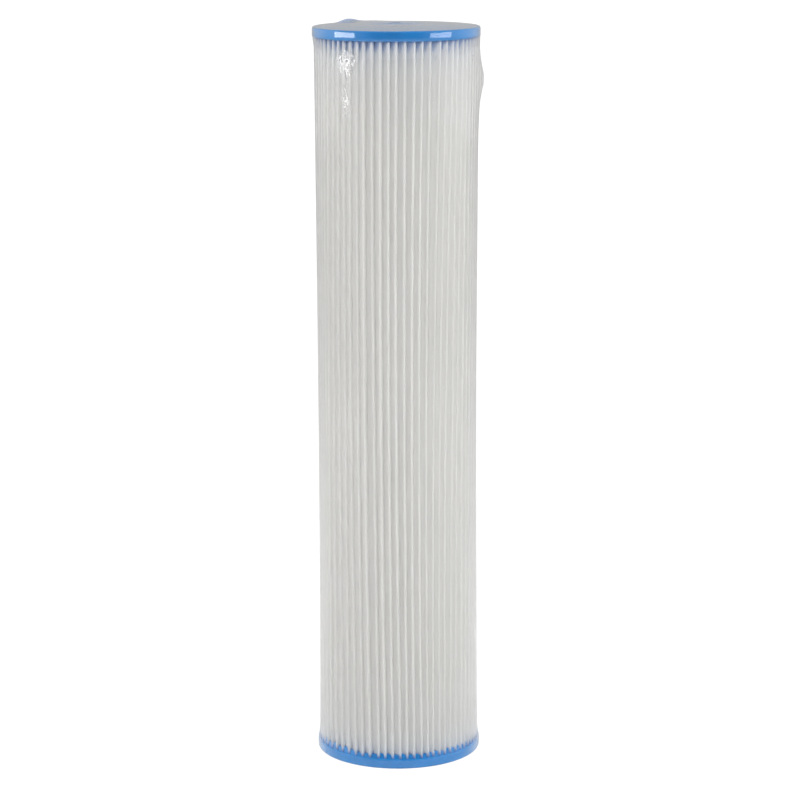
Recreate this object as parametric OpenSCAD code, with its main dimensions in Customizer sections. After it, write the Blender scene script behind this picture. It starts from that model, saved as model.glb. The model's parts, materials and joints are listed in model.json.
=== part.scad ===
// Pleated filter cartridge in its shrink film, 4-1/2 in. x 20 in. nominal size.
// Millimetres. +Z runs up the axis. The origin is the centre of the bottom bore,
// in the plane that the cartridge stands on.

/* [Envelope] */
// Overall length over the sealing lands of the two end caps
length = 508; // [480:1:520]
// Outside diameter of the end caps
cap_d = 114.3; // [112:0.1:118]

/* [End caps] */
// Thickness of a cap, measured over its sealing land
cap_t = 7; // [6:0.1:9]
// Diameter of the bore through a cap
bore_d = 27; // [24:0.1:30]
// Outside diameter of the raised sealing land around the bore
land_d = 38; // [34:0.5:39]
// Height of the sealing land above the rest of the face
land_h = 0.3; // [0.2:0.05:0.6]
// Rounding of the rim's outer edge
rim_round = 1.2; // [0.6:0.1:2]
// Rounding of the rim's edge beside the pleats
shoulder_round = 0.6; // [0.3:0.1:0.8]
// Depth to which the media and the core are cast into a cap
potting = 4.5; // [2:0.1:5]

/* [Pleated media] */
// Number of pleats around the cartridge
pleats = 64; // [48:1:68]
// Diameter over the pleat tips
tip_d = 111.4; // [106:0.1:111.6]
// Diameter inside the pleat roots
root_d = 52; // [51:0.1:56]
// Thickness of the nonwoven sheet
sheet_t = 0.55; // [0.4:0.05:0.6]
// Middle radius of the fold at a pleat tip
tip_fold = 0.8; // [0.6:0.05:1]
// Middle radius of the fold at a pleat root
root_fold = 0.6; // [0.5:0.05:0.7]
// Radial width of the glued seam where the ends of the sheet meet
seam_w = 10; // [6:0.5:16]

/* [Core] */
// Outside diameter of the core's collars
core_od = 50; // [46:0.5:50]
// Inside diameter of the core
core_id = 43; // [40:0.5:44]
// Number of lengthwise ribs in the core's cage
ribs = 12; // [8:2:16]
// Width of a rib
rib_w = 3.2; // [2:0.1:4]
// Number of rings between the collars of a core section
rings = 15; // [8:1:18]
// Height of a ring
ring_h = 2.4; // [1.6:0.1:4]
// Height of the plain collar at each end of a core section
collar_h = 8; // [6:0.5:12]

/* [Core coupling] */
// Length of the coupling's spigot, inside both core sections
spigot_h = 24; // [16:1:30]
// Wall of the spigot
spigot_wall = 1.6; // [1.2:0.1:2.5]
// Thickness of the flange between the core sections
flange_h = 2; // [1:0.5:4]

/* [Shrink film] */
// Thickness of the film as a solid
film_t = 0.12; // [0.1:0.01:0.2]
// Diameter of the opening that the film leaves over each cap
film_open_d = 41; // [40:0.5:60]
// Height over which the film runs in from a cap's rim to the pleat tips
film_neck = 5; // [2:0.5:10]

/* [Hidden] */
$fn = 96;

cap_r = cap_d / 2;
core_r = core_od / 2;
core_bore_r = core_id / 2;
inner_h = length - 2 * (cap_t - potting);
section_h = (inner_h - flange_h) / 2;
pleat_angle = 360 / pleats;

// The seam lies at the back of the cartridge.
seam_angle = 90;

// Folds are drawn as arcs of this many chords.
tip_chords = 4;
root_chords = 3;

// Centres of the folds, measured from the axis.
tip_centre = tip_d / 2 - tip_fold - sheet_t / 2;
root_centre = root_d / 2 + root_fold + sheet_t / 2;

// A rib stands inside the collars' outer face, and a ring inside the ribs'.
rib_inset = 0.3;
ring_inset = 1.2;
rib_bore_r = core_bore_r + 0.9;

// The point at distance r outwards and s sideways along the direction a.
function spot(a, r, s) = [
    r * cos(a) - s * sin(a),
    r * sin(a) + s * cos(a)
];

// A fold's arc about a centre on direction a: outwards when side is 1, inwards when it is -1.
function fold(a, centre, radius, chords, side) = [
    for (i = [0 : chords])
        let (turn = -90 + 180 * i / chords)
        spot(a, centre + side * radius * cos(turn), radius * sin(turn))
];

function tip_angle(i) = seam_angle + (i + 0.5) * pleat_angle;
function root_angle(i) = seam_angle + (i + 1) * pleat_angle;

// One face of the sheet, from one end of the strip to the other.
// face is 1 on the side that looks outwards at the tips, and -1 on the other.
function sheet_face(face) = [
    spot(seam_angle, root_d / 2, root_fold - face * sheet_t / 2),
    for (i = [0 : pleats - 1])
        each concat(
            fold(tip_angle(i), tip_centre, tip_fold + face * sheet_t / 2, tip_chords, 1),
            i == pleats - 1
                ? []
                : fold(root_angle(i), root_centre, root_fold - face * sheet_t / 2, root_chords, -1)
        ),
    spot(seam_angle, root_d / 2, -root_fold + face * sheet_t / 2)
];

function reversed(list) = [for (i = [len(list) - 1 : -1 : 0]) list[i]];

module tube(r_out, r_in, h) {
    difference() {
        cylinder(r = r_out, h = h);
        translate([0, 0, -1])
            cylinder(r = r_in, h = h + 2);
    }
}

// The folded strip as a flat outline.
module sheet_outline() {
    polygon(concat(sheet_face(1), reversed(sheet_face(-1))));
}

// The outline of the glue between the two end plies, which spread apart outwards.
module seam_outline() {
    spread = tip_centre * sin(pleat_angle / 2) - tip_fold - root_fold;
    widening = spread * seam_w / (tip_centre - root_centre);
    half_gap = root_fold - sheet_t / 2;
    polygon([
        spot(seam_angle, root_d / 2, -half_gap),
        spot(seam_angle, root_d / 2, half_gap),
        spot(seam_angle, root_d / 2 + seam_w, half_gap + widening),
        spot(seam_angle, root_d / 2 + seam_w, -half_gap - widening)
    ]);
}

// Half section of a cap that lies face down, bore and sealing land at the left.
module cap_section() {
    difference() {
        translate([bore_d / 2, 0])
            square([cap_r - bore_d / 2, cap_t]);
        translate([land_d / 2, -1])
            square([cap_r, 1 + land_h]);
        translate([cap_r - rim_round, land_h])
            corner(rim_round, -1);
        translate([cap_r - shoulder_round, cap_t])
            corner(shoulder_round, 1);
    }
}

// What a rounding of radius r takes off a corner to the right: below it, or above it for up = 1.
module corner(r, up) {
    difference() {
        translate([0, up > 0 ? -r : -1])
            square([r + 1, r + 1]);
        translate([0, -up * r])
            circle(r = r);
    }
}

// A cap face down, with the pockets that its casting leaves around the media, seam and core.
module cap() {
    difference() {
        rotate_extrude($fn = 180)
            cap_section();
        translate([0, 0, cap_t - potting])
            linear_extrude(potting + 1) {
                sheet_outline();
                seam_outline();
            }
        translate([0, 0, cap_t - potting])
            tube(core_r, core_bore_r, potting + 1);
    }
}

// A cage of ribs and rings between two collars, standing on its lower end.
module core_section() {
    cage_h = section_h - 2 * collar_h;
    union() {
        for (z = [0, section_h - collar_h])
            translate([0, 0, z])
                tube(core_r, core_bore_r, collar_h);
        intersection() {
            translate([0, 0, collar_h / 2])
                tube(core_r - rib_inset, rib_bore_r, section_h - collar_h);
            for (i = [0 : ribs / 2 - 1])
                rotate([0, 0, i * 360 / ribs])
                    translate([-core_r, -rib_w / 2, 0])
                        cube([core_od, rib_w, section_h]);
        }
        for (i = [1 : rings])
            translate([0, 0, collar_h + i * cage_h / (rings + 1) - ring_h / 2])
                tube(core_r - ring_inset, core_bore_r, ring_h);
    }
}

module bottom_end_cap() {
    color([0.16, 0.45, 0.74])
        cap();
}

// The top cap is the bottom cap turned over, with its pockets still on the same pleats.
module top_end_cap() {
    color([0.16, 0.45, 0.74])
        translate([0, 0, length])
            mirror([0, 0, 1])
                cap();
}

module pleated_media() {
    color([0.93, 0.94, 0.94])
        translate([0, 0, cap_t - potting])
            linear_extrude(inner_h)
                sheet_outline();
}

module media_seam_bead() {
    color([0.88, 0.86, 0.78])
        translate([0, 0, cap_t - potting])
            linear_extrude(inner_h)
                seam_outline();
}

module core_lower_section() {
    color([0.82, 0.84, 0.85])
        translate([0, 0, cap_t - potting])
            core_section();
}

module core_upper_section() {
    color([0.82, 0.84, 0.85])
        translate([0, 0, length - cap_t + potting - section_h])
            core_section();
}

// A spigot inside both core sections, with a flange that their ends rest against.
module core_coupling() {
    color([0.70, 0.73, 0.75])
        translate([0, 0, length / 2])
            difference() {
                union() {
                    translate([0, 0, -spigot_h / 2])
                        cylinder(r = core_bore_r, h = spigot_h);
                    translate([0, 0, -flange_h / 2])
                        cylinder(r = core_r, h = flange_h);
                }
                translate([0, 0, -spigot_h])
                    cylinder(r = core_bore_r - spigot_wall, h = 2 * spigot_h);
            }
}

// Half section of the film: over the lower cap's face, up the rim, in to the pleat tips and back out.
module film_section() {
    open_r = film_open_d / 2;
    side_r = cap_r + film_t;
    waist_r = tip_d / 2 + film_t;
    face_z = land_h - film_t;
    neck_z = cap_t + film_neck;
    outside = [
        [open_r, face_z],
        [side_r - rim_round, face_z],
        [side_r, face_z + rim_round],
        [side_r, cap_t],
        [waist_r, neck_z],
        [waist_r, length - neck_z],
        [side_r, length - cap_t],
        [side_r, length - face_z - rim_round],
        [side_r - rim_round, length - face_z],
        [open_r, length - face_z]
    ];
    inside = [
        [open_r, length - land_h],
        [cap_r - rim_round, length - land_h],
        [cap_r, length - land_h - rim_round],
        [cap_r, length - cap_t],
        [waist_r - film_t, length - neck_z],
        [waist_r - film_t, neck_z],
        [cap_r, cap_t],
        [cap_r, land_h + rim_round],
        [cap_r - rim_round, land_h],
        [open_r, land_h]
    ];
    polygon(concat(outside, inside));
}

module shrink_film() {
    color([0.85, 0.90, 0.95, 0.3])
        rotate_extrude($fn = 180)
            film_section();
}

bottom_end_cap();
top_end_cap();
pleated_media();
media_seam_bead();
core_lower_section();
core_upper_section();
core_coupling();
shrink_film();
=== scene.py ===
"""A pleated filter cartridge in clear shrink film, standing on a pale floor.

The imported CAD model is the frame. The pleats, their seam, the end caps and the film are built here at the CAD
nodes' sizes, with the uneven pleats, the waist and the loose film of the real cartridge. The core is the CAD's own.
"""

import json
import math

import bpy
import numpy as np
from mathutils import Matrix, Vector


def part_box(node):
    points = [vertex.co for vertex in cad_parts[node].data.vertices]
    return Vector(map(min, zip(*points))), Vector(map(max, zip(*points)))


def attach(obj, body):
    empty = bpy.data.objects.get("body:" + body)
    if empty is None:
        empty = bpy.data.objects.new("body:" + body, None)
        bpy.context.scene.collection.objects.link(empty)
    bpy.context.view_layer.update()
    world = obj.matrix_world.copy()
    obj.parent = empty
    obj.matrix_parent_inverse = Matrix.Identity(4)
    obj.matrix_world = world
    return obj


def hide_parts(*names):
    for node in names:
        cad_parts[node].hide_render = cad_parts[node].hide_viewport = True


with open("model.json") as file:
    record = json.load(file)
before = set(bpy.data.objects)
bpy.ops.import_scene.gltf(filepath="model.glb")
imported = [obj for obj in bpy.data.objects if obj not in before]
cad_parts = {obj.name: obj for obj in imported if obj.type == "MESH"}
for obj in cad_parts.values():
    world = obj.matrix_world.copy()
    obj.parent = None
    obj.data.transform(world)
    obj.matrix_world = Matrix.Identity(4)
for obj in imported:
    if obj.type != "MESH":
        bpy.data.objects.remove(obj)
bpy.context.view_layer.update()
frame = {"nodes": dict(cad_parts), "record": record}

MM = 0.001
BODY = "root"
rng = np.random.default_rng(41)

# ---------------------------------------------------------------- sizes, from the frame, in millimetres


def node_box(node):
    """The lowest and highest corner of a CAD node, in millimetres."""
    low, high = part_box(node)
    return np.array(low) / MM, np.array(high) / MM


CAP_LOW, CAP_HIGH = node_box("bottom_end_cap")
TOP_LOW, TOP_HIGH = node_box("top_end_cap")
MEDIA_LOW, MEDIA_HIGH = node_box("pleated_media")
FILM_LOW, FILM_HIGH = node_box("shrink_film")
CORE_LOW, CORE_HIGH = node_box("core_lower_section")

LENGTH = TOP_HIGH[2]
CAP_R = CAP_HIGH[0]
CAP_T = CAP_HIGH[2]
TIP_R = MEDIA_HIGH[0]
CORE_R = CORE_HIGH[0]
ROOT_R = CORE_R + 1.0
BORE_R = frame["record"]["mounts"][0]["dims"]["r_mm"]

# The caps, as part.scad has them, but cast a little under size.
RIM_R = CAP_R - 0.12
LAND_R = 19.0
LAND_H = 0.3
RIM_ROUND = 1.2
SHOULDER_ROUND = 1.0

# The pleats, as part.scad has them, but with the tips pressed flatter.
PLEATS = 64
SHEET_T = 0.55
TIP_FOLD = 0.55
ROOT_FOLD = 0.6
SEAM_W = 10.0
MEDIA_PASSES = 0.7

# The film.
FILM_T = 0.05
FILM_GAP = 0.05
FILM_SAG = 0.10
FILM_MIRRORS = 0.027
FILM_OPEN_R = 20.5
DOME_H = 1.5
LIP_R = 3.0
LIP_H = 0.5
EAR_AT = 142

# ---------------------------------------------------------------- mesh helpers


def radial(azimuth):
    """Unit vectors outwards at an azimuth in degrees, which is 0 at the front (-Y) and 90 on the right (+X)."""
    a = np.radians(azimuth)
    return np.stack([np.sin(a), -np.cos(a)], axis=-1)


def sideways(azimuth):
    """Unit vectors along a circle, towards growing azimuth."""
    a = np.radians(azimuth)
    return np.stack([np.cos(a), np.sin(a)], axis=-1)


def smooth(share):
    """An even step from 0 to 1."""
    s = np.clip(share, 0.0, 1.0)
    return s * s * (3 - 2 * s)


def bump(x, centre, width):
    """A bell of height 1."""
    return np.exp(-(((x - centre) / width) ** 2))


def new_object(name, points_mm, faces, material, node=None, flat=False):
    """A piece of the cartridge from points in millimetres."""
    mesh = bpy.data.meshes.new(name)
    mesh.from_pydata((np.asarray(points_mm) * MM).tolist(), [], faces)
    mesh.validate()
    mesh.polygons.foreach_set("use_smooth", [not flat] * len(mesh.polygons))
    mesh.materials.append(material)
    piece = bpy.data.objects.new(name, mesh)
    bpy.context.scene.collection.objects.link(piece)
    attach(piece, BODY)
    if node is not None:
        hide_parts(node)
    return piece


def mark(piece, name, values):
    """A value on each point of a piece, for its material."""
    piece.data.attributes.new(name, "FLOAT", "POINT").data.foreach_set("value", values)


def ring_faces(rows, columns, around_rows=False, around_columns=True):
    """Quads between the points of a grid, row after row."""
    last_row = rows if around_rows else rows - 1
    last_column = columns if around_columns else columns - 1
    faces = []
    for i in range(last_row):
        low, high = i * columns, (i + 1) % rows * columns
        for j in range(last_column):
            k = (j + 1) % columns
            faces.append((low + j, low + k, high + k, high + j))
    return faces


# ---------------------------------------------------------------- the pleats' free shape

EVEN_TIPS = (np.arange(PLEATS) + 0.5) * 360 / PLEATS - 180
EVEN_ROOTS = np.arange(1, PLEATS) * 360 / PLEATS - 180
TIP_JITTER = rng.normal(0.0, 0.32, (3, PLEATS))
DEPTH_JITTER = rng.normal(0.0, 0.10, PLEATS)
FOLD_JITTER = rng.uniform(-0.12, 0.14, PLEATS)


def at_front(azimuth):
    """1 over the front and sides and 0 at the glued seam, where the pleats stand evenly."""
    return smooth((1 + np.cos(np.radians(azimuth))) / 2 / 0.55)


def through(low, middle, high, share):
    """A parabola through three values at the shares 0, 0.5 and 1."""
    return (
        low * (1 - share) * (1 - 2 * share)
        + middle * 4 * share * (1 - share)
        + high * share * (2 * share - 1)
    )


def drift(azimuth, share):
    """How many degrees the pleats stand from their even places, at a share of the height.

    The two caps are cast one after the other, so the pleats are turned a little between them,
    and they bow to the left at half height."""
    turn = np.radians(azimuth)
    low = 0.8 + 3.8 * np.cos(2 * turn + 0.63)
    middle = 1.4 + 0.7 * np.sin(3 * turn + 1.9)
    high = 4.0 + 1.2 * np.sin(3 * turn - 0.52)
    wide_gap = np.where(azimuth > 22, 2.4 * np.exp(-(azimuth - 22) / 30), 0.0) * share**2
    return at_front(azimuth) * (through(low, middle, high, share) + wide_gap)


def tip_azimuths(share):
    low, middle, high = TIP_JITTER * at_front(EVEN_TIPS)
    return EVEN_TIPS + drift(EVEN_TIPS, share) + through(low, middle, high, share)


def root_azimuths(share):
    """The roots stay behind the tips, so that the pleats lean."""
    return EVEN_ROOTS + (0.6 * drift(EVEN_ROOTS, share)) - LEAN * at_front(EVEN_ROOTS)


def waist(z):
    """Radius over the pleat tips: the film pulls them in below half height."""
    narrow, at = TIP_R - 0.6, 190.0
    above = 0.8 * ((z - at) / 305) ** 2
    below = 0.7 * ((at - z) / 165) ** 2
    return narrow + np.where(z > at, above, below)


def bulge(azimuth, z):
    """How far the film and the pleats under it stand out at the upper right."""
    sharp = 2.7 * bump(z, 472.0, 10.0) * bump(azimuth, 90, 9.0)
    broad = 1.4 * bump(z, 474, 27) * bump(azimuth, 90, 16)
    return sharp + broad


def tip_radii(z):
    inner = smooth((z - CAP_T) / 30) * smooth((LENGTH - CAP_T - z) / 30)
    pressed = 0.5 * bump(EVEN_TIPS, 90, 40) * bump(z, LENGTH / 2, 120)
    return waist(z) + DEPTH_JITTER * inner - pressed + 0.85 * bulge(EVEN_TIPS, z)


# ---------------------------------------------------------------- pleated media

TIP_CHORDS = 4
ROOT_CHORDS = 2
SHUT_FREE = 0.022
SHUT_AT_CAPS = 0.10
SHUT_REACH = 9.0
BELLY_RIGHT = 0.15
BELLY_LEFT = 0.83
LEAN = 8.0
CAP_HEIGHTS = (0.0, 1.0, 2.5, 5.0, 9.0, 15.0)
FREE_STEP = 18.0
BULGE_STEP = 6.0
BULGE_FROM = 430.0


# How much of the caps' blue goes on the media beside each cap, and how far it reaches up the tips and the valleys.
# It is partly wicked plastisol and partly painted blue bounce light from the caps and painted shade, deepest in the
# valleys.
WICK_AND_BOUNCE_BOTTOM = (0.8, 2.5, 4.0)
WICK_AND_BOUNCE_TOP = (0.75, 1.0, 8.0)
# The faint far tint is painted blue bounce light from the caps.
PAINTED_BOUNCE_FAR = 0.10
PAINTED_BOUNCE_FAR_REACH = 30.0


def fold_faces(centre, u, v, radius, chords, side):
    """Both faces of a fold: its points on the side that looks out at the tips, and on the other."""
    turn = np.linspace(-math.pi / 2, math.pi / 2, chords + 1)[:, None]
    out = side * np.cos(turn) * u + np.sin(turn) * v
    half = side * SHEET_T / 2
    return centre * u + (radius + half) * out, centre * u + (radius - half) * out


def ply_shares(z):
    """Places along a ply at a height, from tip to root. The third is where the plies of a valley meet:
    close behind the tips, and deeper at the caps, which hold the sheet evenly."""
    from_cap = max(min(z - CAP_T, LENGTH - CAP_T - z), 0.0)
    shut = SHUT_FREE + (SHUT_AT_CAPS - SHUT_FREE) * math.exp(-((from_cap / SHUT_REACH) ** 2))
    return np.array([0.35 * shut, 0.7 * shut, shut, 0.8])[:, None]


def valley_plies(before, root, after, shares):
    """The two plies of a valley, on both faces. They belly towards each other and shut it behind the tip
    on its left."""
    down = [f[-1] + (r[0] - f[-1]) * shares for f, r in zip(before, root)]
    up = [f[0] + (r[-1] - f[0]) * shares for f, r in zip(after, root)]
    closed = np.sin(math.pi / 2 * np.minimum(shares / shares[2], 1))
    gap = closed * (up[0] - down[0])
    return tuple(d + BELLY_RIGHT * gap for d in down), tuple((p - BELLY_LEFT * gap)[::-1] for p in up)


def seam_ply(end, tip, shares, first):
    """The ply between an end of the sheet and the fold beside it, on both faces. The film presses it
    against the other end's ply close behind the tips, and further in it is straight."""
    shut = shares[2, 0]
    places = np.array([0.5 * shut, shut, 0.25, 0.8])[:, None]
    pressed = np.array([0.7, 0.97, 0.0, 0.0])[:, None]
    near = 0 if first else -1
    straight = [f[near] + (e[0] - f[near]) * places for e, f in zip(end, tip)]
    aside = (straight[0] @ sideways(180.0))[:, None] * sideways(180.0)
    plies = [ply - pressed * aside for ply in straight]
    return tuple(ply[::-1] for ply in plies) if first else tuple(plies)


def seam_end(sign):
    """The end of the sheet at the seam, on both faces."""
    u, v = radial(180.0), sideways(180.0)
    return tuple(
        (ROOT_R * u + sign * (ROOT_FOLD - face * SHEET_T / 2) * v)[None] for face in (1, -1)
    )


def media_section(z):
    """The folded sheet's two faces at a height, as two lists of matching points."""
    share = z / LENGTH
    tips, roots, reach = tip_azimuths(share), root_azimuths(share), tip_radii(z)
    tip_folds, root_folds = [], []
    for k in range(PLEATS):
        fold = TIP_FOLD + FOLD_JITTER[k] * at_front(EVEN_TIPS[k])
        u, v = radial(tips[k]), sideways(tips[k])
        tip_folds.append(fold_faces(reach[k] - fold - SHEET_T / 2, u, v, fold, TIP_CHORDS, 1))
    for azimuth in roots:
        u, v = radial(azimuth), sideways(azimuth)
        centre = ROOT_R + ROOT_FOLD + SHEET_T / 2
        root_folds.append(fold_faces(centre, u, v, ROOT_FOLD, ROOT_CHORDS, -1))
    start, end, shares = seam_end(1), seam_end(-1), ply_shares(z)
    run = [start, seam_ply(start, tip_folds[0], shares, True)]
    for k, root in enumerate(root_folds):
        down, up = valley_plies(tip_folds[k], root, tip_folds[k + 1], shares)
        run += [tip_folds[k], down, root, up]
    run += [tip_folds[-1], seam_ply(end, tip_folds[-1], shares, False), end]
    return tuple(np.concatenate([p[face] for p in run]) for face in (0, 1))


def pleated_media(material):
    """The nonwoven strip, folded and closed into a tube, as one closed solid."""
    near = CAP_T + np.array(CAP_HEIGHTS)
    free = np.arange(near[-1] + FREE_STEP, BULGE_FROM, FREE_STEP)
    free = np.append(free, np.arange(free[-1] + BULGE_STEP, LENGTH - near[-1] - 2, BULGE_STEP))
    heights = np.concatenate([MEDIA_LOW[2:], near, free, LENGTH - near[::-1], MEDIA_HIGH[2:]])
    rings = []
    for z in heights:
        outer, inner = media_section(z)
        loop = np.concatenate([outer, inner[::-1]])
        rings.append(np.column_stack([loop, np.full(len(loop), z)]))
    n = len(rings[0])
    faces = ring_faces(len(heights), n)
    for level, turned in ((0, True), (len(heights) - 1, False)):
        first = level * n
        for i in range(n // 2 - 1):
            quad = (first + i, first + i + 1, first + n - 2 - i, first + n - 1 - i)
            faces.append(quad[::-1] if turned else quad)
    points = np.concatenate(rings)
    piece = new_object("pleats", points, faces, material, "pleated_media")
    mark(piece, "wick_and_bounce_blue", wick_and_bounce_blue(points))
    outer = media_section(LENGTH / 2)[0]
    return piece


def wick_and_bounce_blue(points):
    """How blue each point of the media is. The caps' plastisol wicks up it, with painted blue bounce light and
    shade, most behind the tips.
    """
    r, z = np.hypot(points[:, 0], points[:, 1]), points[:, 2]
    behind = smooth((TIP_R - 0.3 - r) / 1.1)
    result = np.zeros(len(points))
    for from_cap, (much, at_tips, in_valleys) in ((z - CAP_T, WICK_AND_BOUNCE_BOTTOM), (LENGTH - CAP_T - z, WICK_AND_BOUNCE_TOP)):
        from_cap = np.maximum(from_cap, 0)
        reach = at_tips + (in_valleys - at_tips) * behind
        result += much * np.exp(-from_cap / reach) + PAINTED_BOUNCE_FAR * np.exp(-from_cap / PAINTED_BOUNCE_FAR_REACH)
    return result


def seam_bead(material):
    """The hot-melt strip between the two end plies, with a slightly lumpy outer edge."""
    levels = 90
    heights = np.linspace(MEDIA_LOW[2], MEDIA_HIGH[2], levels)
    u, v = radial(180.0), sideways(180.0)
    half = ROOT_FOLD - SHEET_T / 2 - 0.02
    lumps = rng.normal(0.0, 0.5, levels)
    rows = []
    for z, lump in zip(heights, np.convolve(lumps, [0.25, 0.5, 0.25], "same")):
        reach = SEAM_W + lump
        wide = half + 0.045 * reach
        outline = [(0, -half), (0, half), (reach * 0.9, wide * 0.96), (reach, wide * 0.6)]
        outline += [(reach + 0.35, 0.0), (reach, -wide * 0.6), (reach * 0.9, -wide * 0.96)]
        rows += [[*((ROOT_R + r) * u + s * v), z] for r, s in outline]
    n = 7
    faces = ring_faces(levels, n)
    faces += [tuple(range(n))[::-1], tuple(range((levels - 1) * n, levels * n))]
    return new_object("media_seam", rows, faces, material, "media_seam_bead")


# ---------------------------------------------------------------- end caps

CAP_COLUMNS = 384

# The plastisol stands up between the pleats, close behind their tips: how far, and its shares at some radii.
RISE_BOTTOM = 3.2
RISE_TOP = 0.6
MENISCUS = ((55.15, 0.0), (55.0, 0.15), (54.85, 0.6), (54.6, 0.93), (54.0, 1.0), (51.5, 0.8), (48.0, 0.3))


def arc(centre, radius, start, end, steps):
    """Points of an arc in the (radius, height) plane, angles in degrees."""
    turn = np.radians(np.linspace(start, end, steps))
    return [(centre[0] + radius * np.cos(t), centre[1] + radius * np.sin(t)) for t in turn]


def cap_profile(rise):
    """A cap that lies face down, from the bore's inner edge round its outside, as (radius, height) points."""
    bore_edge = 0.4
    floor_r = RIM_R - SHOULDER_ROUND
    points = [(BORE_R, CAP_T), (BORE_R, CAP_T / 2)]
    points += arc((BORE_R + bore_edge, bore_edge), bore_edge, 180, 270, 4)
    points += [(LAND_R - 1.0, 0.0)]
    points += arc((LAND_R - 0.25, 0.25), 0.25, 270, 330, 3)
    points += [(LAND_R + 0.6, LAND_H), (26.0, LAND_H), (33.0, LAND_H), (40.0, LAND_H), (48.0, LAND_H)]
    points += arc((RIM_R - RIM_ROUND, LAND_H + RIM_ROUND), RIM_ROUND, 270, 360, 8)
    points += [(RIM_R, CAP_T * 0.45), (RIM_R, CAP_T * 0.7)]
    points += arc((floor_r, CAP_T - SHOULDER_ROUND), SHOULDER_ROUND, 0, 90, 6)
    points += [(r, CAP_T + rise * share) for r, share in MENISCUS]
    points += [(r, CAP_T) for r in (42.0, 34.0, 27.0, 20.0)]
    return np.array(points)


def end_cap(name, node, top, rise, material):
    """A cast cap: round edges, a rim that isn't quite even, and plastisol standing up between the pleats."""
    profile = cap_profile(rise)
    rows, columns = len(profile), CAP_COLUMNS
    turn = np.linspace(0, 360, columns, endpoint=False)
    t = np.radians(turn)
    phase = rng.uniform(0, 2 * math.pi, 4)
    rim = 0.07 * np.sin(3 * t + phase[0]) + 0.04 * np.sin(7 * t + phase[1])
    sag = 0.05 * np.sin(5 * t + phase[2]) + 0.04 * np.sin(11 * t + phase[3])
    uneven = np.convolve(rng.normal(0.0, 1.0, columns + 6), np.ones(7) / 7, "valid")
    points = []
    for r, h in profile:
        outer = smooth((r - LAND_R) / (RIM_R - LAND_R))
        radius = r + (rim - 0.08) * outer
        height = h + sag * outer * smooth((h - 1.0) / 4) + 0.5 * uneven * max(h - CAP_T, 0)
        z = LENGTH - height if top else height
        points.append(np.column_stack([radial(turn) * radius[:, None], z]))
    faces = ring_faces(rows, columns, around_rows=True)
    if not top:
        faces = [f[::-1] for f in faces]
    return new_object(name, np.concatenate(points), faces, material, node)


# ---------------------------------------------------------------- shrink film

GAP_POINTS = 3
CREST_TURNS = np.array([-34.0, 0.0, 34.0])
FILM_ROWS = 78

# Patches of creases: azimuth, height, half width in degrees, half height, and strength.
CRINKLES = (
    (-37, 487, 8.5, 8.5, 0.70),
    (-37, 460, 5.0, 17.0, 0.43),
    (67, 488, 5.0, 5.0, 0.40),
    (28, 490, 7.0, 5.0, 0.38),
)


def film_outline(z):
    """The film round the pleats at a height: over each crest, and nearly straight to the next."""
    share = z / LENGTH
    tips, reach = tip_azimuths(share), tip_radii(z)
    folds = TIP_FOLD + FOLD_JITTER * at_front(EVEN_TIPS) + SHEET_T / 2
    crests = []
    for k in range(PLEATS):
        u, v = radial(tips[k]), sideways(tips[k])
        turn = np.radians(CREST_TURNS)[:, None]
        out = np.cos(turn) * u + np.sin(turn) * v
        crests.append((reach[k] - folds[k]) * u + (folds[k] + FILM_GAP) * out)
    points = []
    for k, crest in enumerate(crests):
        following = crests[(k + 1) % PLEATS][0]
        points += list(crest)
        for i in range(1, GAP_POINTS + 1):
            s = i / (GAP_POINTS + 1)
            p = crest[-1] + (following - crest[-1]) * s
            width = np.linalg.norm(following - crest[-1])
            sag = FILM_SAG * 4 * s * (1 - s) * (width / 4.0) ** 2
            points.append(p * (1 - sag / np.linalg.norm(p)))
    return np.array(points)


def film_rows():
    """The film's rows from its opening under the bottom cap to its lip over the top cap, as (kind, radius, z)."""
    edge_r = RIM_R - RIM_ROUND
    skin = FILM_GAP
    rows = [("round", r, LAND_H - skin) for r in (FILM_OPEN_R, 26.0, 34.0, 42.0, 50.0)]
    low = arc((edge_r, LAND_H + RIM_ROUND), RIM_ROUND + skin, 270, 360, 7)
    rows += [("round", r, z) for r, z in low]
    rows += [("round", RIM_R + skin, z) for z in (CAP_T * 0.45, CAP_T * 0.7, CAP_T - 0.6)]
    body = np.linspace(CAP_T + 0.6, LENGTH - CAP_T - 0.6, FILM_ROWS)
    rows += [("body", 0.0, z) for z in body]
    rows += [("round", r, LENGTH - z) for _, r, z in rows[14:4:-1]]
    return rows


def shrink_film(material):
    """The clear skin: flat under the bottom cap, up the pleats, over the top cap to a gathered lip."""
    columns = PLEATS * (len(CREST_TURNS) + GAP_POINTS)
    mid = film_outline(LENGTH / 2)
    around = np.degrees(np.arctan2(mid[:, 0], -mid[:, 1]))
    grid = []
    for kind, radius, z in film_rows():
        if kind == "round":
            ring, height = radial(around) * radius, np.full(columns, z)
        else:
            outline = film_outline(z)
            azimuth = np.degrees(np.arctan2(outline[:, 0], -outline[:, 1]))
            rim = radial(azimuth) * (RIM_R + FILM_GAP)
            in_from_cap = smooth((min(z - CAP_T, LENGTH - CAP_T - z) + 0.8) / 3.6)
            ring = rim + (outline - rim) * in_from_cap
            ring = ring * (1 + 0.15 * bulge(azimuth, z) / TIP_R)[:, None]
            height = np.full(columns, z)
        grid.append(np.column_stack([ring, height]))
    grid += film_lip(around)
    points = np.concatenate(grid)
    faces = ring_faces(len(grid), columns)
    piece = new_object("film", points, faces, material, "shrink_film")
    mark(piece, "haze", haze(points))
    mark(piece, "crinkle", crinkle(points))
    skin = piece.modifiers.new("skin", "SOLIDIFY")
    skin.thickness = FILM_T * MM
    skin.offset = 1.0
    return piece


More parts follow.
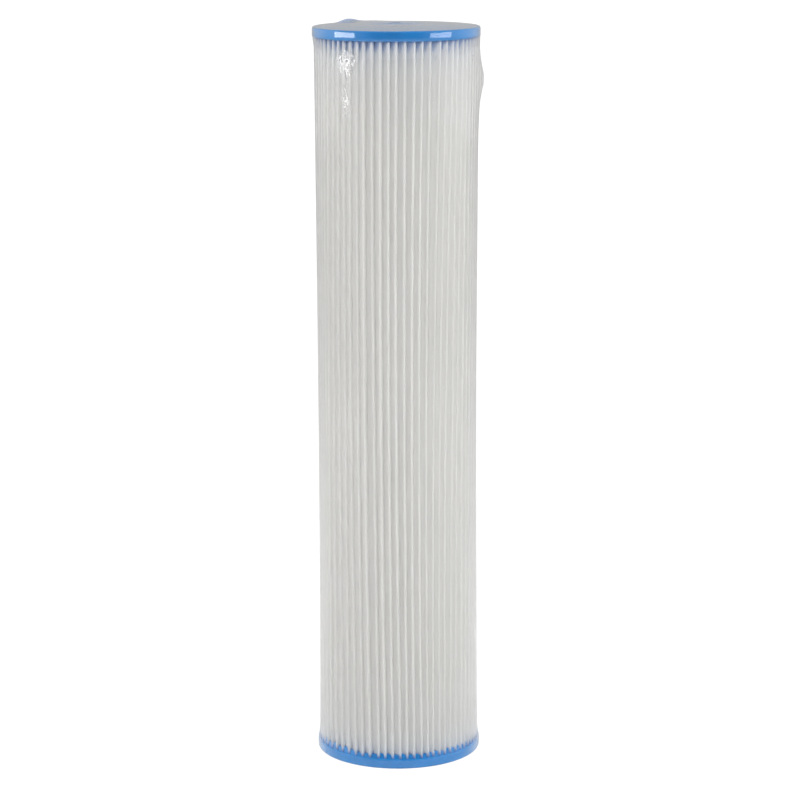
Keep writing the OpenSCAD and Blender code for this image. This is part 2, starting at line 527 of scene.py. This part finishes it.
def haze(points):
    """How cloudy the film is at each point: over the bore, where it is gathered, and at the ear on the rim."""
    r, azimuth = np.hypot(points[:, 0], points[:, 1]), np.degrees(np.arctan2(points[:, 0], -points[:, 1]))
    gathered = 0.25 * smooth((26.0 - r) / 18.0)
    bunched = 0.85 * bump(azimuth, -EAR_AT, 14) * smooth((r - 44.0) / 9.0)
    return (points[:, 2] > LENGTH - LAND_H) * (gathered + bunched)


def crinkle(points):
    """How crinkled the film is at each point: patches that a grip left near the top."""
    azimuth = np.degrees(np.arctan2(points[:, 0], -points[:, 1]))
    result = np.zeros(len(points))
    for at, height, wide, tall, much in CRINKLES:
        result += much * bump(azimuth, at, wide) * bump(points[:, 2], height, tall)
    return result


def film_lip(around):
    """Rows over the top cap: a shallow dome on trapped air, gathered round a small hole over the bore."""
    t = np.radians(around)
    phase = rng.uniform(0, 2 * math.pi, 3)
    waves = sum(a * np.sin(n * t + p) for a, n, p in zip((0.5, 0.3, 0.2), (9, 17, 31), phase))
    face = LENGTH - LAND_H + FILM_GAP
    ear = 2.3 * bump(around, -EAR_AT, 8) + 0.6 * bump(around, -160, 12)
    rows = []
    for r in (54.5, 52.0, 48.0, 43.0, 38.0, 33.0, 28.0, 24.0, 20.0, 16.0, 12.0, 9.0, 7.0, 5.5, 4.2, LIP_R):
        dome = DOME_H * (2 * smooth(0.5 + 0.5 * min((54.5 - r) / 32.0, 1.0)) - 1)
        folds = 0.18 * bump(r, 11.0, 7.0) * waves
        lip = LIP_H * smooth((7.0 - r) / 4.0) * (1 + 0.3 * waves)
        height = face + dome + folds + lip + ear * smooth((r - 44) / 9)
        radius = r * (1 + 0.03 * bump(r, 5.0, 6.0) * waves)
        rows.append(np.column_stack([radial(around) * radius[:, None], height]))
    return rows


# ---------------------------------------------------------------- materials


def new_material(name):
    """A material with its node tree, its Principled shader and its output."""
    material = bpy.data.materials.new(name)
    material.use_nodes = True
    tree = material.node_tree
    return material, tree, tree.nodes["Principled BSDF"], tree.nodes["Material Output"]


def add(tree, kind, **values):
    """A node with values set on it: a property by its name, or an input by its name."""
    node = tree.nodes.new(kind)
    for key, value in values.items():
        if hasattr(node, key):
            setattr(node, key, value)
        else:
            node.inputs[key.replace("_", " ")].default_value = value
    return node


def scaled_place(tree, scale):
    """The point on the object, in millimetres times a scale along each axis."""
    place = tree.nodes.new("ShaderNodeTexCoord")
    mapping = tree.nodes.new("ShaderNodeMapping")
    mapping.inputs["Scale"].default_value = [s / MM for s in scale]
    tree.links.new(place.outputs["Object"], mapping.inputs["Vector"])
    return mapping.outputs["Vector"]


def noise(tree, scale, detail=4.0, roughness=0.55):
    """Noise whose cells measure 1 / scale millimetres along each axis."""
    node = add(tree, "ShaderNodeTexNoise", Detail=detail, Roughness=roughness)
    node.inputs["Scale"].default_value = 1.0
    tree.links.new(scaled_place(tree, scale), node.inputs["Vector"])
    return node.outputs["Fac"]


def ramp(tree, source, low, high, colour_low, colour_high):
    """Two colours, mixed as the source goes from low to high."""
    node = tree.nodes.new("ShaderNodeValToRGB")
    first, last = node.color_ramp.elements
    first.position, first.color = low, (*colour_low, 1.0)
    last.position, last.color = high, (*colour_high, 1.0)
    tree.links.new(source, node.inputs["Fac"])
    return node.outputs["Color"]


def spread_value(tree, source, low, high):
    """The source's 0 to 1 as low to high."""
    node = add(tree, "ShaderNodeMapRange")
    node.inputs["To Min"].default_value = low
    node.inputs["To Max"].default_value = high
    tree.links.new(source, node.inputs["Value"])
    return node.outputs["Result"]


def total(tree, *sources, operation="ADD"):
    """The sum of several values, or what another operation makes of them."""
    result = sources[0]
    for source in sources[1:]:
        node = tree.nodes.new("ShaderNodeMath")
        node.operation = operation
        tree.links.new(result, node.inputs[0])
        tree.links.new(source, node.inputs[1])
        result = node.outputs[0]
    return result


def marked(tree, name):
    """A value that mark() put on the points of the piece."""
    return add(tree, "ShaderNodeAttribute", attribute_name=name).outputs["Fac"]


def emboss(tree, shader, height, depth_mm, strength):
    """A bump of a depth in millimetres on a shader."""
    node = tree.nodes.new("ShaderNodeBump")
    node.inputs["Distance"].default_value = depth_mm * MM
    node.inputs["Strength"].default_value = strength
    tree.links.new(height, node.inputs["Height"])
    tree.links.new(node.outputs["Normal"], shader.inputs["Normal"])


# The blue's share of the media's colour as the wicked plastisol and the painted bounce light and shade grow.
WICK_AND_BOUNCE_SHARES = ((0.35, 0.08), (0.6, 0.5), (0.99, 0.84))


def nonwoven():
    """White spunbond polyester: a mat of fine fibres that passes much of the light, with denser places."""
    material, tree, shader, output = new_material("spunbond_polyester")
    fibres = total(tree, noise(tree, (7.0, 7.0, 0.6), 3.0), noise(tree, (1.1, 1.1, 8.0), 3.0))
    cloud = noise(tree, (0.25, 0.25, 0.10), 5.0)
    white = ramp(tree, cloud, 0.35, 0.65, (0.976, 0.974, 0.960), (0.988, 0.986, 0.979))
    patchy = spread_value(tree, noise(tree, (0.7, 0.7, 0.35), 2.0), 0.6, 1.4)
    # Blue beside the caps: partly wicked plastisol, partly painted blue bounce light and painted shade.
    wick_and_bounce = total(tree, marked(tree, "wick_and_bounce_blue"), patchy, operation="MULTIPLY")
    wick_and_bounce_ramp = tree.nodes.new("ShaderNodeValToRGB")
    for place, share in WICK_AND_BOUNCE_SHARES:
        stop = wick_and_bounce_ramp.color_ramp.elements.new(place)
        stop.color = (share, share, share, 1.0)
    wick_and_bounce_ramp.color_ramp.elements.remove(wick_and_bounce_ramp.color_ramp.elements[-1])
    tree.links.new(wick_and_bounce, wick_and_bounce_ramp.inputs["Fac"])
    wick_and_bounce_tint = add(tree, "ShaderNodeMix", data_type="RGBA")
    wick_and_bounce_tint.inputs["B"].default_value = (0.040, 0.290, 0.700, 1.0)
    tree.links.new(wick_and_bounce_ramp.outputs["Color"], wick_and_bounce_tint.inputs["Factor"])
    tree.links.new(white, wick_and_bounce_tint.inputs["A"])
    colour = wick_and_bounce_tint.outputs["Result"]
    tree.links.new(colour, shader.inputs["Base Color"])
    tree.links.new(spread_value(tree, cloud, 0.62, 0.8), shader.inputs["Roughness"])
    shader.inputs["Specular IOR Level"].default_value = 0.25
    emboss(tree, shader, fibres, 0.08, 0.5)
    passed = tree.nodes.new("ShaderNodeBsdfTranslucent")
    tree.links.new(colour, passed.inputs["Color"])
    mix = tree.nodes.new("ShaderNodeMixShader")
    mix.inputs["Fac"].default_value = MEDIA_PASSES
    tree.links.new(shader.outputs["BSDF"], mix.inputs[1])
    tree.links.new(passed.outputs["BSDF"], mix.inputs[2])
    tree.links.new(mix.outputs["Shader"], output.inputs["Surface"])
    return material


UPPER_BLUE = (0.012, 0.165, 0.450)
# The lower cap's blue: the same plastisol painted lighter, standing in for the light the floor throws up on it.
FLOOR_LIT_BLUE = (0.013, 0.205, 0.550)


def plastisol(name, shade):
    """Glossy cast blue plastisol, mottled a little, with pinhead bubbles. A painted sheen makes it paler the flatter
    it is seen.
    """
    material, tree, shader, _ = new_material(name)
    mottle = noise(tree, (0.09, 0.09, 0.09), 5.0)
    deep = ramp(tree, mottle, 0.3, 0.7, [0.92 * c for c in shade], [1.06 * c for c in shade])
    # Painted sheen: the colour turns paler towards grazing view, standing in for the light the rim catches from the
    # sides.
    facing = tree.nodes.new("ShaderNodeLayerWeight")
    painted_sheen = add(tree, "ShaderNodeMix", data_type="RGBA")
    painted_sheen.inputs["B"].default_value = (0.024, 0.270, 0.640, 1.0)
    tree.links.new(facing.outputs["Facing"], painted_sheen.inputs["Factor"])
    tree.links.new(deep, painted_sheen.inputs["A"])
    tree.links.new(painted_sheen.outputs["Result"], shader.inputs["Base Color"])
    tree.links.new(spread_value(tree, mottle, 0.14, 0.24), shader.inputs["Roughness"])
    shader.inputs["IOR"].default_value = 1.40
    skin = total(tree, noise(tree, (0.6, 0.6, 0.6), 3.0), noise(tree, (4.0, 4.0, 4.0), 2.0))
    emboss(tree, shader, skin, 0.03, 0.35)
    return material


def polypropylene():
    """Milky moulded polypropylene, satin, with flow marks."""
    material, tree, shader, _ = new_material("natural_polypropylene")
    flow = noise(tree, (0.12, 0.12, 0.02), 4.0)
    colour = ramp(tree, flow, 0.3, 0.7, (0.70, 0.72, 0.72), (0.80, 0.82, 0.82))
    tree.links.new(colour, shader.inputs["Base Color"])
    tree.links.new(spread_value(tree, flow, 0.34, 0.48), shader.inputs["Roughness"])
    emboss(tree, shader, noise(tree, (3.0, 3.0, 3.0), 3.0), 0.03, 0.4)
    return material


def hot_melt():
    """Cream hot-melt adhesive with soft lumps."""
    material, tree, shader, _ = new_material("hot_melt_adhesive")
    lumps = noise(tree, (0.5, 0.5, 0.3), 4.0)
    colour = ramp(tree, lumps, 0.3, 0.7, (0.72, 0.66, 0.48), (0.84, 0.80, 0.66))
    tree.links.new(colour, shader.inputs["Base Color"])
    tree.links.new(spread_value(tree, lumps, 0.25, 0.4), shader.inputs["Roughness"])
    emboss(tree, shader, lumps, 0.15, 0.5)
    return material


def clear_film():
    """Clear film, which mirrors more the flatter it is looked at. It has faint wrinkles, is brighter where
    it is crinkled, and cloudy where it is gathered."""
    material, tree, shader, output = new_material("clear_shrink_film")
    tree.nodes.remove(shader)
    clear = add(tree, "ShaderNodeBsdfTransparent")
    clear.inputs["Color"].default_value = (0.99, 0.99, 0.99, 1.0)
    gloss = add(tree, "ShaderNodeBsdfGlossy")
    gloss.inputs["Color"].default_value = (1.0, 1.0, 1.0, 1.0)
    wrinkles = total(tree, noise(tree, (0.25, 0.25, 0.008), 1.0), noise(tree, (0.7, 0.7, 0.010), 0.0))
    emboss(tree, gloss, wrinkles, 0.04, 0.06)
    creases = add(tree, "ShaderNodeMapRange", interpolation_type="SMOOTHSTEP")
    creases.inputs["From Min"].default_value = 0.42
    creases.inputs["From Max"].default_value = 0.58
    uneven = spread_value(tree, noise(tree, (0.9, 0.9, 0.6), 1.0), -1.5, 3.5)
    crinkled = total(tree, marked(tree, "crinkle"), uneven, operation="MULTIPLY")
    tree.links.new(crinkled, creases.inputs["Value"])
    tree.links.new(spread_value(tree, creases.outputs["Result"], 0.04, 0.40), gloss.inputs["Roughness"])
    facing = tree.nodes.new("ShaderNodeLayerWeight")
    facing.inputs["Blend"].default_value = 0.5
    power = tree.nodes.new("ShaderNodeMath")
    power.operation = "POWER"
    power.inputs[1].default_value = 4.0
    tree.links.new(facing.outputs["Facing"], power.inputs[0])
    slant = spread_value(tree, power.outputs[0], FILM_MIRRORS, 0.95)
    share = total(tree, slant, spread_value(tree, creases.outputs["Result"], 0.0, 0.32))
    mix = tree.nodes.new("ShaderNodeMixShader")
    tree.links.new(share, mix.inputs["Fac"])
    tree.links.new(clear.outputs["BSDF"], mix.inputs[1])
    tree.links.new(gloss.outputs["BSDF"], mix.inputs[2])
    cloudy = add(tree, "ShaderNodeBsdfDiffuse", Color=(0.40, 0.49, 0.66, 1.0))
    clouded = tree.nodes.new("ShaderNodeMixShader")
    tree.links.new(marked(tree, "haze"), clouded.inputs["Fac"])
    tree.links.new(mix.outputs["Shader"], clouded.inputs[1])
    tree.links.new(cloudy.outputs["BSDF"], clouded.inputs[2])
    tree.links.new(clouded.outputs["Shader"], output.inputs["Surface"])
    return material


def floor_material():
    """A pale table top that the camera sees as plain white paper, like the room behind it."""
    material, tree, shader, output = new_material("pale_floor")
    shader.inputs["Base Color"].default_value = (FLOOR_GREY, FLOOR_GREY, FLOOR_GREY, 1.0)
    shader.inputs["Roughness"].default_value = 0.9
    shader.inputs["Specular IOR Level"].default_value = 0.1
    white = add(tree, "ShaderNodeEmission", Color=(1.0, 1.0, 1.0, 1.0), Strength=WHITE)
    rays = tree.nodes.new("ShaderNodeLightPath")
    mix = tree.nodes.new("ShaderNodeMixShader")
    tree.links.new(rays.outputs["Is Camera Ray"], mix.inputs["Fac"])
    tree.links.new(shader.outputs["BSDF"], mix.inputs[1])
    tree.links.new(white.outputs["Emission"], mix.inputs[2])
    tree.links.new(mix.outputs["Shader"], output.inputs["Surface"])
    return material


# ---------------------------------------------------------------- stage, light and camera

FLOOR_R = 4.0
FLOOR_GREY = 0.88
WHITE = 1.1
ROOM_FRONT = 0.15
ROOM_BACK = 0.52
ROOM_SIDES = 0.35

# The softboxes at the sides: side, azimuth, glow of the low strip that gloss mirrors, and glow of the box over it.
BOXES = (("left", -74.0, 6.0, 3.1), ("right", 62.5, 4.0, 4.0))
BOX_AT = 1.5
BOX_W = 0.9
BOX_H = 0.935
STRIP_LOW = 0.385
STRIP_H = 0.165

# The large soft light in front and above, which gloss does not mirror.
FILL_AT = 1.7
FILL_LOW = 1.3
FILL_SIZE = (1.8, 1.0)
FILL_TILT = 42
FILL_GLOW = 5.0


def floor():
    """A round table top, wide enough to fill the camera's view down to it."""
    turn = np.linspace(0, 360, 96, endpoint=False)
    edge = radial(turn) * FLOOR_R
    mesh = bpy.data.meshes.new("floor")
    mesh.from_pydata([(x, y, 0.0) for x, y in edge], [], [tuple(range(len(turn)))])
    mesh.materials.append(floor_material())
    ground = bpy.data.objects.new("floor", mesh)
    bpy.context.scene.collection.objects.link(ground)


def studio_world():
    """A white room for the camera. What lights the cartridge is softer: brightest at the sides, darkest in front."""
    world = bpy.data.worlds.new("studio")
    bpy.context.scene.world = world
    world.use_nodes = True
    tree = world.node_tree
    tree.nodes.clear()
    place = tree.nodes.new("ShaderNodeTexCoord")
    split = tree.nodes.new("ShaderNodeSeparateXYZ")
    tree.links.new(place.outputs["Generated"], split.inputs[0])
    depth = add(tree, "ShaderNodeMapRange")
    depth.inputs["From Min"].default_value = -0.9
    depth.inputs["From Max"].default_value = -0.2
    depth.inputs["To Min"].default_value = ROOM_FRONT
    depth.inputs["To Max"].default_value = ROOM_BACK
    tree.links.new(split.outputs["Y"], depth.inputs["Value"])
    aside = tree.nodes.new("ShaderNodeMath")
    aside.operation = "ABSOLUTE"
    tree.links.new(split.outputs["X"], aside.inputs[0])
    sides = add(tree, "ShaderNodeMapRange")
    sides.inputs["From Min"].default_value = 0.55
    sides.inputs["From Max"].default_value = 0.95
    sides.inputs["To Max"].default_value = ROOM_SIDES
    tree.links.new(aside.outputs[0], sides.inputs["Value"])
    room = add(tree, "ShaderNodeBackground", Color=(1.0, 1.0, 1.0, 1.0))
    tree.links.new(total(tree, depth.outputs["Result"], sides.outputs["Result"]), room.inputs["Strength"])
    white = add(tree, "ShaderNodeBackground", Color=(1.0, 1.0, 1.0, 1.0), Strength=WHITE)
    rays = tree.nodes.new("ShaderNodeLightPath")
    mix = tree.nodes.new("ShaderNodeMixShader")
    output = tree.nodes.new("ShaderNodeOutputWorld")
    tree.links.new(rays.outputs["Is Camera Ray"], mix.inputs["Fac"])
    tree.links.new(room.outputs[0], mix.inputs[1])
    tree.links.new(white.outputs[0], mix.inputs[2])
    tree.links.new(mix.outputs[0], output.inputs["Surface"])


def softbox(name, azimuth, distance, bottom, size, glow, tilt=0.0, mirrored=True):
    """A soft light of an even glow that faces the cartridge, tilted down by some degrees. Gloss may mirror it."""
    light = bpy.data.lights.new(name, "AREA")
    light.shape = "RECTANGLE"
    light.size, light.size_y = size
    light.energy = glow * math.pi * size[0] * size[1]
    lamp = bpy.data.objects.new(name, light)
    bpy.context.scene.collection.objects.link(lamp)
    x, y = radial(azimuth) * distance
    lamp.location = (x, y, bottom + size[1] / 2)
    lamp.rotation_euler = (math.radians(90 - tilt), 0.0, math.radians(azimuth))
    lamp.visible_glossy = mirrored


def camera():
    """The photograph's view: a long lens a little above the top cap, tilted down."""
    data = bpy.data.cameras.new("camera")
    data.lens = 121.67
    data.sensor_width = 36.0
    data.clip_start, data.clip_end = 0.05, 60.0
    cam = bpy.data.objects.new("camera", data)
    cam.location = (0.0030, -1.8418, 0.6235)
    pitch, roll = 11.4745, 0.197
    cam.rotation_mode = "XYZ"
    cam.rotation_euler = (math.radians(90 - pitch), math.radians(roll), 0.0)
    bpy.context.scene.collection.objects.link(cam)
    bpy.context.scene.camera = cam


# ---------------------------------------------------------------- the scene

camera()
floor()
studio_world()
for side, azimuth, strip_glow, box_glow in BOXES:
    softbox("strip_" + side, azimuth, BOX_AT, STRIP_LOW, (BOX_W, STRIP_H), strip_glow)
    softbox("softbox_" + side, azimuth, BOX_AT, STRIP_LOW + STRIP_H, (BOX_W, BOX_H), box_glow, mirrored=False)
softbox("fill", 0, FILL_AT, FILL_LOW, FILL_SIZE, FILL_GLOW, FILL_TILT, mirrored=False)
bpy.context.scene.view_settings.view_transform = "Standard"
cycles = bpy.context.scene.cycles
cycles.max_bounces, cycles.diffuse_bounces, cycles.transmission_bounces = 24, 12, 16
cycles.transparent_max_bounces = 24

core_plastic = polypropylene()
pleated_media(nonwoven())
seam_bead(hot_melt())
# The bottom cap gets the plastisol painted lighter for the floor's bounce light.
end_cap("bottom_cap", "bottom_end_cap", False, RISE_BOTTOM, plastisol("blue_plastisol_painted_floor_light", FLOOR_LIT_BLUE))
end_cap("top_cap", "top_end_cap", True, RISE_TOP, plastisol("blue_plastisol_upper", UPPER_BLUE))
shrink_film(clear_film())
for node in ("core_lower_section", "core_upper_section", "core_coupling"):
    part = frame["nodes"][node]
    part.data.materials.clear()
    part.data.materials.append(core_plastic)
